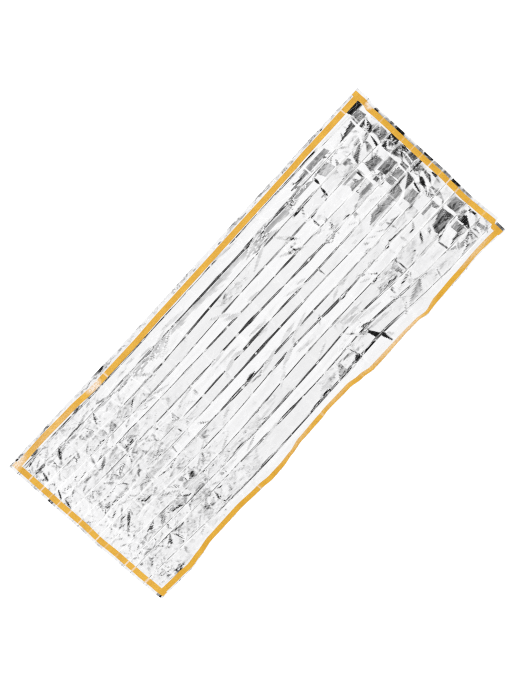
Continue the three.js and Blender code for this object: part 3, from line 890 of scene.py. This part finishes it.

# %% [markdown]
# ## Materials
# A small class wraps a node's output so that plain arithmetic builds the shading. The film is a bright
# metal: its scuffed creases carry a painted sheen and are whiter and duller, the tilt of each face turns
# its normal, and three layers of slanting cells turn it further where the film is crumpled. Thin white
# lines of painted highlight run between the cells of the coarsest layer. The tape is satin plastic with a
# fine grain, a faint painted glow and patches of painted glare.

# %% Film and tape materials


class Shade:
    """One output of a node tree that plain arithmetic works on."""

    def __init__(self, tree, socket=None):
        self.tree = tree
        self.socket = socket

    def node(self, kind, sockets, output=0, stops=(), **settings):
        made = self.tree.nodes.new(kind)
        for name, value in settings.items():
            setattr(made, name, value)
        for n, (at, bright) in enumerate(stops):
            spots = made.color_ramp.elements
            spot = spots[n] if n < len(spots) else spots.new(at)
            spot.position = at
            spot.color = (bright, bright, bright, 1)
        for name, value in sockets.items():
            if isinstance(value, Shade):
                self.tree.links.new(value.socket, made.inputs[name])
            else:
                made.inputs[name].default_value = value
        return Shade(self.tree, made.outputs[output] if made.outputs else None)

    def math(self, operation, first, second):
        return self.node("ShaderNodeMath", {0: first, 1: second}, operation=operation)

    def vector(self, operation, sockets):
        return self.node("ShaderNodeVectorMath", sockets, operation=operation)

    def mix(self, share, first, second):
        return self.node("ShaderNodeMix", {0: share, 6: first, 7: second}, output=2, data_type="RGBA")

    def noise(self, place, scale, output="Fac"):
        sockets = {"Vector": place, "Scale": scale, "Detail": 2}
        return self.node("ShaderNodeTexNoise", sockets, output=output)

    def value_of(self, attribute, output="Fac"):
        return self.node("ShaderNodeAttribute", {}, output=output, attribute_name=attribute)

    def __add__(self, other):
        return self.math("ADD", self, other)

    def __radd__(self, other):
        return self.math("ADD", other, self)

    def __sub__(self, other):
        return self.math("SUBTRACT", self, other)

    def __rsub__(self, other):
        return self.math("SUBTRACT", other, self)

    def __mul__(self, other):
        return self.math("MULTIPLY", self, other)

    def __rmul__(self, other):
        return self.math("MULTIPLY", other, self)


def material(name, build):
    """A material whose surface has the sockets that build works out."""
    made = bpy.data.materials.new(name)
    made.use_nodes = True
    made.node_tree.nodes.clear()
    shade = Shade(made.node_tree)
    surface = shade.node("ShaderNodeBsdfPrincipled", build(shade))
    shade.node("ShaderNodeOutputMaterial", {"Surface": surface})
    return made


SILVER = (0.815, 0.815, 0.82, 1)
WHITE = (1, 1, 1, 1)
CELL_LAYERS = (
    {"turn": 0.15, "stretch": (1, 0.24, 1), "size": 0.02, "tilt": 0.2},
    {"turn": -0.4, "stretch": (1, 0.16, 1), "size": 0.009, "tilt": 0.22},
    {"turn": 0.8, "stretch": (1, 0.5, 1), "size": 0.007, "tilt": 0.22},
)
CELL_MIDDLE = (0.42, 0.35, 0.5)
# Painted highlight: thin white lines along the edges of the coarsest cells.
LINE_FINENESS = 20
LINE_WHITE = 2
WARP_SCALE = 30
WARP_REACH = 0.02
BARE_ROUGH = 0.07
# How much rougher and duller the scuffs with their painted sheen are.
SCUFF_AND_SHEEN_ROUGH = 0.3
SCUFF_AND_SHEEN_DULL = 0.2


def film_sockets(shade):
    """Mirror film: scuffs with painted sheen and painted highlight lines are white and dull; tilts and
    crumple turn the normal.
    """
    place = shade.node("ShaderNodeTexCoord", {}, output="Object")
    much = shade.value_of("crumple")
    warp = shade.noise(place, WARP_SCALE, "Color")
    warp = shade.vector("SUBTRACT", {0: warp, 1: (0.5, 0.5, 0.5)})
    warp = shade.vector("SCALE", {0: warp, "Scale": WARP_REACH})
    place = shade.vector("ADD", {0: place, 1: warp})
    # Scuffs with a painted sheen, which also take the tilt off the normal.
    worn_and_sheen = shade.value_of("wear_and_sheen")
    leaning = shade.vector("SCALE", {0: shade.value_of("lean", "Vector"), "Scale": 1 - worn_and_sheen})
    normal = shade.node("ShaderNodeNewGeometry", {}, output="Normal")
    normal = shade.vector("ADD", {0: normal, 1: leaning})
    for cells in CELL_LAYERS:
        turned = {"Vector": place, "Rotation": (0, 0, cells["turn"]), "Scale": cells["stretch"]}
        laid = shade.node("ShaderNodeMapping", turned, vector_type="POINT")
        sized = {"Vector": laid, "Scale": 1 / cells["size"]}
        cell = shade.node("ShaderNodeTexVoronoi", sized, output="Color", voronoi_dimensions="2D")
        slant = shade.vector("SUBTRACT", {0: cell, 1: CELL_MIDDLE})
        slant = shade.vector("MULTIPLY", {0: slant, 1: (cells["tilt"], cells["tilt"], 0)})
        slant = shade.vector("SCALE", {0: slant, "Scale": much})
        normal = shade.vector("ADD", {0: normal, 1: slant})
    first = CELL_LAYERS[0]
    turned = {"Vector": place, "Rotation": (0, 0, first["turn"]), "Scale": first["stretch"]}
    laid = shade.node("ShaderNodeMapping", turned, vector_type="POINT")
    gap = shade.node(
        "ShaderNodeTexVoronoi", {"Vector": laid, "Scale": 1 / first["size"]}, output="Distance",
        voronoi_dimensions="2D", feature="DISTANCE_TO_EDGE",
    )
    # The painted highlight lines, made white and dull like the scuffs.
    thin = shade.math("MAXIMUM", 1 - LINE_FINENESS * gap, 0)
    lines = LINE_WHITE * thin * much
    white = shade.node("ShaderNodeMath", {0: worn_and_sheen, 1: lines}, operation="MAXIMUM", use_clamp=True)
    return {
        "Base Color": shade.mix(white, SILVER, WHITE),
        "Metallic": 1 - SCUFF_AND_SHEEN_DULL * white,
        "Roughness": BARE_ROUGH + SCUFF_AND_SHEEN_ROUGH * white,
        "Normal": shade.vector("NORMALIZE", {0: normal}),
    }


DEEP_ORANGE = (0.76, 0.38, 0.02, 1)
LIGHT_ORANGE = (0.98, 0.57, 0.06, 1)
# The pale colour of the breaks and of the painted glare.
PALE = (1, 0.9, 0.8, 1)
TONE_SPREAD = 2
TONE_MIDDLE = 0.32
BROAD_SCALE = 18
FINE_SCALE = 160
BROAD_SHARE = 0.55
SHINE_SPREAD = 2.4
SHINE_LESS = 0.45
BREAK_SHOWS = 0.85
# Painted light: the tape glows faintly in its own colour, though it is no lamp.
TAPE_GLOW = 0.08


def tape_sockets(shade):
    """Satin orange plastic, mottled, with pale breaks, painted glare and a faint painted glow."""
    place = shade.node("ShaderNodeTexCoord", {}, output="Object")
    broad = shade.noise(place, BROAD_SCALE)
    fine = shade.noise(place, FINE_SCALE)
    mottle = BROAD_SHARE * broad + (1 - BROAD_SHARE) * fine
    tone = shade.mix(TONE_SPREAD * (mottle - TONE_MIDDLE), DEEP_ORANGE, LIGHT_ORANGE)
    # Painted glare: pale patches on the tape where it would catch the light.
    shine = shade.value_of("glare") * (SHINE_SPREAD * fine - SHINE_LESS)
    broken = shade.value_of("gaps") * BREAK_SHOWS
    pale = shade.node("ShaderNodeMath", {0: shine, 1: broken}, operation="MAXIMUM", use_clamp=True)
    tone = shade.mix(pale, tone, PALE)
    return {
        "Base Color": tone,
        # A faint painted glow in the tape's own colour.
        "Emission Color": tone,
        "Emission Strength": TAPE_GLOW,
        "Roughness": 0.5 - 0.2 * fine,
        "Normal": shade.node("ShaderNodeBump", {"Height": fine, "Strength": 0.3, "Distance": 0.001}),
    }


foil = material("Metallised film", film_sockets)
orange = material("Orange tape", tape_sockets)
print("materials:", foil.name, "and", orange.name)

# %% [markdown]
# ## Saying what each piece is
# Every piece stands for one solid of the frame and takes that solid's finish. Both films are cut 0.91 m
# wide and 2.13 m long, and only lie on what is under them.

# %% Declaring the pieces
for piece, paint, node, slot_name in (
    (upper, foil, "front_film", "film"),
    (lower, foil, "back_film", "film"),
    (tape_left, orange, "tape_left", "tape"),
    (tape_right, orange, "tape_right", "tape"),
    (tape_foot, orange, "tape_foot", "tape"),
    (tape_head, orange, "tape_head", "tape"),
):
    piece.data.materials.append(paint)
    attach(piece, "root")
    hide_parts(node)
    print(piece.name, "stands for", node)

# %% [markdown]
# ## Ground, light and camera
# The bag lies on white ground under a soft white dome. Two dark cards, one past the head and one to the
# right, give the mirror something to show, as a photographer would set them. They hang high, and below
# them the sky dims softly to the horizon, so the film is silver from low down too. The camera looks
# straight down.

# %% Ground, light and camera
FLOOR_HALF = 40
bm = bmesh.new()
bmesh.ops.create_grid(bm, x_segments=1, y_segments=1, size=FLOOR_HALF)
ground = bpy.data.meshes.new("Floor")
bm.to_mesh(ground)
bm.free()
floor = bpy.data.objects.new("Floor", ground)
bpy.context.scene.collection.objects.link(floor)


def ground_sockets(shade):
    """White ground that glows a little, so that it stays plain."""
    return {
        "Base Color": (0.9, 0.9, 0.9, 1),
        "Roughness": 0.9,
        "Specular IOR Level": 0,
        "Emission Color": WHITE,
        "Emission Strength": 0.65,
    }


ground.materials.append(material("White ground", ground_sockets))

DOME = 1.47
TO_RIGHT = table(
    "way bright",
    (-1, 0.9), (-0.8, 0.97), (-0.35, 1), (0, 0.98), (0.3, 0.93), (0.4, 0.7), (0.49, 0.3), (0.56, 0.06),
    (0.62, 0.01), (1, 0.01),
)
TO_HEAD = table(
    "way bright",
    (-1, 0.6), (-0.75, 0.97), (-0.25, 1), (0, 0.97), (0.22, 0.92), (0.34, 0.7), (0.43, 0.42), (0.5, 0.26),
    (0.56, 0.06), (0.62, 0.01), (1, 0.01),
)
CARD_SIDES = table("way bright", (-1, 0), (-0.55, 0), (-0.35, 1), (0.35, 1), (0.55, 0), (1, 0))
CARD_FOOT = table("way bright", (-1, 0), (0.6, 0), (0.68, 1), (1, 1))
LOW_SKY = table(
    "way bright",
    (-1, 0.3), (0, 0.3), (0.2, 0.45), (0.36, 0.68), (0.46, 0.93), (0.55, 1), (1, 1),
)
world = bpy.data.worlds.new("Studio")
bpy.context.scene.world = world
world.use_nodes = True
world.node_tree.nodes.clear()
sky = Shade(world.node_tree)
look = sky.node("ShaderNodeTexCoord", {}, output="Generated")


def glow_by(axis, rows):
    """The dome's brightness by how far a direction points along an axis, from -1 to 1."""
    way = sky.node("ShaderNodeSeparateXYZ", {0: look}, output=axis)
    stops = [((row["way"] + 1) / 2, row["bright"]) for row in rows]
    return sky.node("ShaderNodeValToRGB", {0: 0.5 * way + 0.5}, stops=stops)


def card(axis, rows, side_axis):
    """How much of the dome shows past a dark card that stands out along an axis."""
    size = glow_by(side_axis, CARD_SIDES) * glow_by("Z", CARD_FOOT)
    return 1 - (1 - glow_by(axis, rows)) * size


glow = DOME * card("X", TO_RIGHT, "Y") * card("Y", TO_HEAD, "X") * glow_by("Z", LOW_SKY)
BACKDROP = 0.9
camera_ray = sky.node("ShaderNodeLightPath", {}, output="Is Camera Ray")
shown = sky.node("ShaderNodeMix", {0: camera_ray, 2: glow, 3: BACKDROP}, data_type="FLOAT")
lamp = sky.node("ShaderNodeBackground", {"Strength": shown})
sky.node("ShaderNodeOutputWorld", {"Surface": lamp})

PIXEL = 4.14 * MM
PIXELS_HIGH = 688
TURN = 42.55
AIM_X = -2.28
AIM_Y = 1.11
camera = bpy.data.cameras.new("Camera")
camera.lens = 200
camera.sensor_width = 36
camera.clip_end = 100
eye = bpy.data.objects.new("Camera", camera)
high = PIXELS_HIGH * PIXEL * camera.lens / camera.sensor_width
eye.location = (AIM_X * PIXEL, AIM_Y * PIXEL, high)
eye.rotation_euler = (0, 0, math.radians(TURN))
bpy.context.scene.collection.objects.link(eye)
scene = bpy.context.scene
scene.camera = eye
scene.view_settings.view_transform = "Standard"
scene.cycles.use_denoising = False
scene.cycles.filter_width = 1.1
print("camera at", [round(value, 2) for value in eye.location])
